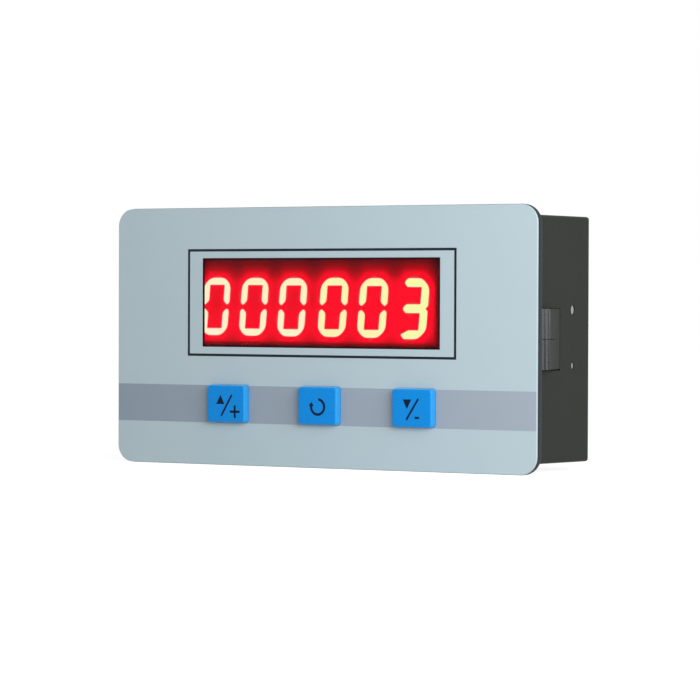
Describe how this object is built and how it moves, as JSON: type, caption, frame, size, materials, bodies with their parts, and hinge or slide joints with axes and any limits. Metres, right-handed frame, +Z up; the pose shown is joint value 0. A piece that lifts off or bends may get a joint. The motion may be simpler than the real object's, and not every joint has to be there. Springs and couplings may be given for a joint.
{
  "type": "digital counter module",
  "caption": "Panel-mounting electronic counter: lit red digits behind a window, blue push keys, printed face film, snap-in dark case with side clips and a lead header at the back.",
  "frame": {"origin": "bottom centre of the whole module, on the lower edge of the flange", "axes": "+X to the right as one faces the display, +Y back into the panel, +Z up"},
  "size_m": [0.079, 0.024, 0.042],
  "materials": {
    "printed_film": "fine matt polycarbonate film, printed",
    "case_plastic": "dark grey moulded ABS, fine texture",
    "red_filter": "clear red acrylic, polished",
    "display_shell": "moulded display shell",
    "lit_segment": "red diffusing epoxy, lit",
    "board": "green solder resist on glass epoxy",
    "key_plastic": "blue moulded ABS, satin",
    "black_plastic": "black moulded plastic",
    "white_nylon": "natural nylon",
    "tinned_metal": "tinned",
    "zinc_steel": "zinc plated",
    "can_aluminium": "drawn aluminium can",
    "resistor": "glazed",
    "chip_ceramic": "fired ceramic"
  },
  "bodies": {
    "module": {"face_overlay": "printed_film", "window_filter": "red_filter", "front_case": "case_plastic", "rear_cover": "case_plastic", "left_display_shell": "display_shell", "left_display_segments": "lit_segment", "left_display_board": "board", "right_display_shell": "display_shell", "right_display_segments": "lit_segment", "right_display_board": "board", "plus_switch_base": "black_plastic", "plus_switch_plate": "tinned_metal", "plus_switch_dome": "tinned_metal", "return_switch_base": "black_plastic", "return_switch_plate": "tinned_metal", "return_switch_dome": "tinned_metal", "minus_switch_base": "black_plastic", "minus_switch_plate": "tinned_metal", "minus_switch_dome": "tinned_metal", "circuit_board": "board", "microcontroller": "black_plastic", "led_driver": "black_plastic", "memory_chip": "black_plastic", "optocoupler": "black_plastic", "voltage_regulator": "black_plastic", "input_capacitor": "can_aluminium", "output_capacitor": "can_aluminium", "protection_diode": "black_plastic", "resistor_1": "resistor", "resistor_2": "resistor", "resistor_3": "resistor", "resistor_4": "resistor", "ceramic_capacitor_1": "chip_ceramic", "ceramic_capacitor_2": "chip_ceramic", "lead_header": "white_nylon", "header_pin_1": "tinned_metal", "header_pin_2": "tinned_metal", "header_pin_3": "tinned_metal", "header_pin_4": "tinned_metal", "header_pin_5": "tinned_metal", "board_screw_left_top": "zinc_steel", "board_screw_right_top": "zinc_steel", "board_screw_left_bottom": "zinc_steel", "board_screw_right_bottom": "zinc_steel"},
    "plus_key_body": {"plus_key": "key_plastic", "plus_switch_plunger": "black_plastic"},
    "return_key_body": {"return_key": "key_plastic", "return_switch_plunger": "black_plastic"},
    "minus_key_body": {"minus_key": "key_plastic", "minus_switch_plunger": "black_plastic"},
    "right_clip_body": {"right_clip": "case_plastic"},
    "left_clip_body": {"left_clip": "case_plastic"}
  },
  "joints": [
    {"name": "plus_key_press", "type": "slide", "parent": "module", "child": "plus_key_body", "axis": [0, 1, 0], "range_m": [0, 0.00025], "stiffness_N_per_m": 7200},
    {"name": "return_key_press", "type": "slide", "parent": "module", "child": "return_key_body", "axis": [0, 1, 0], "range_m": [0, 0.00025], "stiffness_N_per_m": 7200},
    {"name": "minus_key_press", "type": "slide", "parent": "module", "child": "minus_key_body", "axis": [0, 1, 0], "range_m": [0, 0.00025], "stiffness_N_per_m": 7200},
    {"name": "right_clip_flex", "type": "hinge", "parent": "module", "child": "right_clip_body", "pos_m": [0.03605, 0.0019, 0.021], "axis": [0, 0, -1], "range_deg": [0, 10], "stiffness_Nm_per_rad": 0.19},
    {"name": "left_clip_flex", "type": "hinge", "parent": "module", "child": "left_clip_body", "pos_m": [-0.03605, 0.0019, 0.021], "axis": [0, 0, 1], "range_deg": [0, 10], "stiffness_Nm_per_rad": 0.19}
  ]
}
